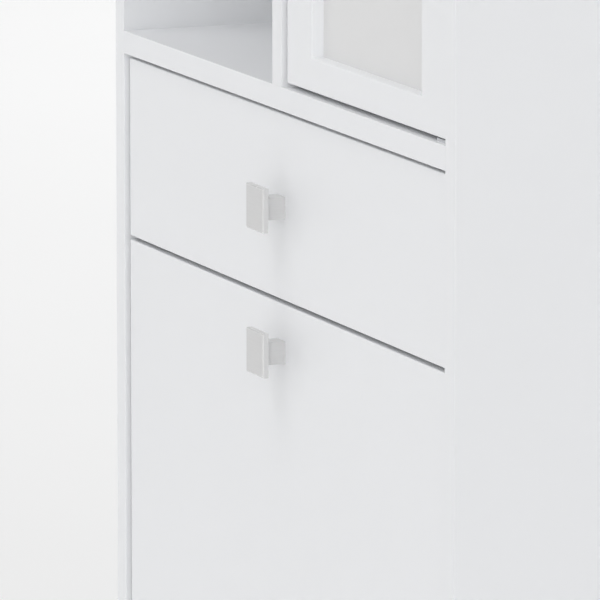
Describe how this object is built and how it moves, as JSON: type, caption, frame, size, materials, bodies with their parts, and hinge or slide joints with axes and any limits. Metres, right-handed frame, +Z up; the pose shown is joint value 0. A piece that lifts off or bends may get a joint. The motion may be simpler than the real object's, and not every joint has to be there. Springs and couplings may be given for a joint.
{
  "type": "apothecary cabinet",
  "caption": "Tall white cabinet on a plinth: open niche and satin-glass door above a shallow drawer and a tall pull-out with trays, all with square metal knobs.",
  "frame": {"origin": "middle of the footprint, on the floor under the four glides", "axes": "+X to the cabinet's right seen from the front, +Y to the back, +Z up"},
  "size_m": [0.6, 0.366, 1.3],
  "materials": {
    "white_board": "white lacquered board, semi-matt",
    "white_front": "white lacquered front, satin",
    "white_sheet": "white-faced hardboard, matt",
    "satin_metal": "fine-brushed satin silver",
    "plated_steel": "zinc plated",
    "bright_rail": "polished",
    "satin_glass": "satin etched",
    "white_plastic": "moulded, fine grain",
    "grey_plastic": "moulded, fine grain",
    "beech": "fluted, untreated"
  },
  "bodies": {
    "root": {"side_panel_left": "white_board", "side_panel_right": "white_board", "top_panel": "white_board", "bottom_panel": "white_board", "middle_shelf": "white_board", "divider_panel": "white_board", "plinth_board": "white_board", "wall_rail": "white_board", "niche_shelf": "white_board", "cupboard_shelf": "white_board", "back_panel": "white_sheet", "shelf_pins": "plated_steel", "cam_locks": "plated_steel", "cam_bolts": "plated_steel", "back_panel_nails": "plated_steel", "cabinet_screws": "plated_steel", "door_pivots": "plated_steel", "drawer_slide_outer_left": "plated_steel", "drawer_slide_outer_right": "plated_steel", "pullout_slide_outer_left": "plated_steel", "pullout_slide_outer_right": "plated_steel", "cam_covers": "white_plastic", "magnetic_catch": "white_plastic", "floor_glides": "grey_plastic", "wood_dowels": "beech"},
    "door": {"door_frame": "white_front", "glass_beads": "white_front", "door_glass": "satin_glass", "door_bushes": "grey_plastic", "strike_plate": "plated_steel", "door_knob_screw": "plated_steel", "door_knob": "satin_metal"},
    "drawer": {"drawer_front": "white_front", "drawer_inner_front": "white_board", "drawer_side_left": "white_board", "drawer_side_right": "white_board", "drawer_back": "white_board", "drawer_bottom": "white_sheet", "drawer_slide_inner_left": "plated_steel", "drawer_slide_inner_right": "plated_steel", "drawer_screws": "plated_steel", "drawer_knob_screw": "plated_steel", "drawer_knob": "satin_metal"},
    "drawer_slide_middles": {"drawer_slide_middle_left": "plated_steel", "drawer_slide_middle_right": "plated_steel"},
    "pullout": {"pullout_front": "white_front", "pullout_inner_front": "white_board", "pullout_side_left": "white_board", "pullout_side_right": "white_board", "pullout_back": "white_board", "middle_tray": "white_board", "pullout_bottom": "white_sheet", "gallery_rails": "bright_rail", "pullout_slide_inner_left": "plated_steel", "pullout_slide_inner_right": "plated_steel", "pullout_screws": "plated_steel", "pullout_knob_screw": "plated_steel", "pullout_knob": "satin_metal"},
    "pullout_slide_middles": {"pullout_slide_middle_left": "plated_steel", "pullout_slide_middle_right": "plated_steel"}
  },
  "joints": [
    {"name": "glass_door_swing", "type": "hinge", "parent": "root", "child": "door", "pos_m": [0.269, -0.157, 0.826], "axis": [0, 0, 1], "range_deg": [0, 110]},
    {"name": "drawer_slide", "type": "slide", "parent": "root", "child": "drawer", "axis": [0, -1, 0], "range_m": [0, 0.28]},
    {"name": "drawer_slide_middle_travel", "type": "slide", "parent": "root", "child": "drawer_slide_middles", "axis": [0, -1, 0], "range_m": [0, 0.14]},
    {"name": "pullout_slide", "type": "slide", "parent": "root", "child": "pullout", "axis": [0, -1, 0], "range_m": [0, 0.28]},
    {"name": "pullout_slide_middle_travel", "type": "slide", "parent": "root", "child": "pullout_slide_middles", "axis": [0, -1, 0], "range_m": [0, 0.14]}
  ],
  "couplings": [
    {"joint": "drawer_slide_middle_travel", "follows": "drawer_slide", "ratio": 0.5},
    {"joint": "pullout_slide_middle_travel", "follows": "pullout_slide", "ratio": 0.5}
  ]
}
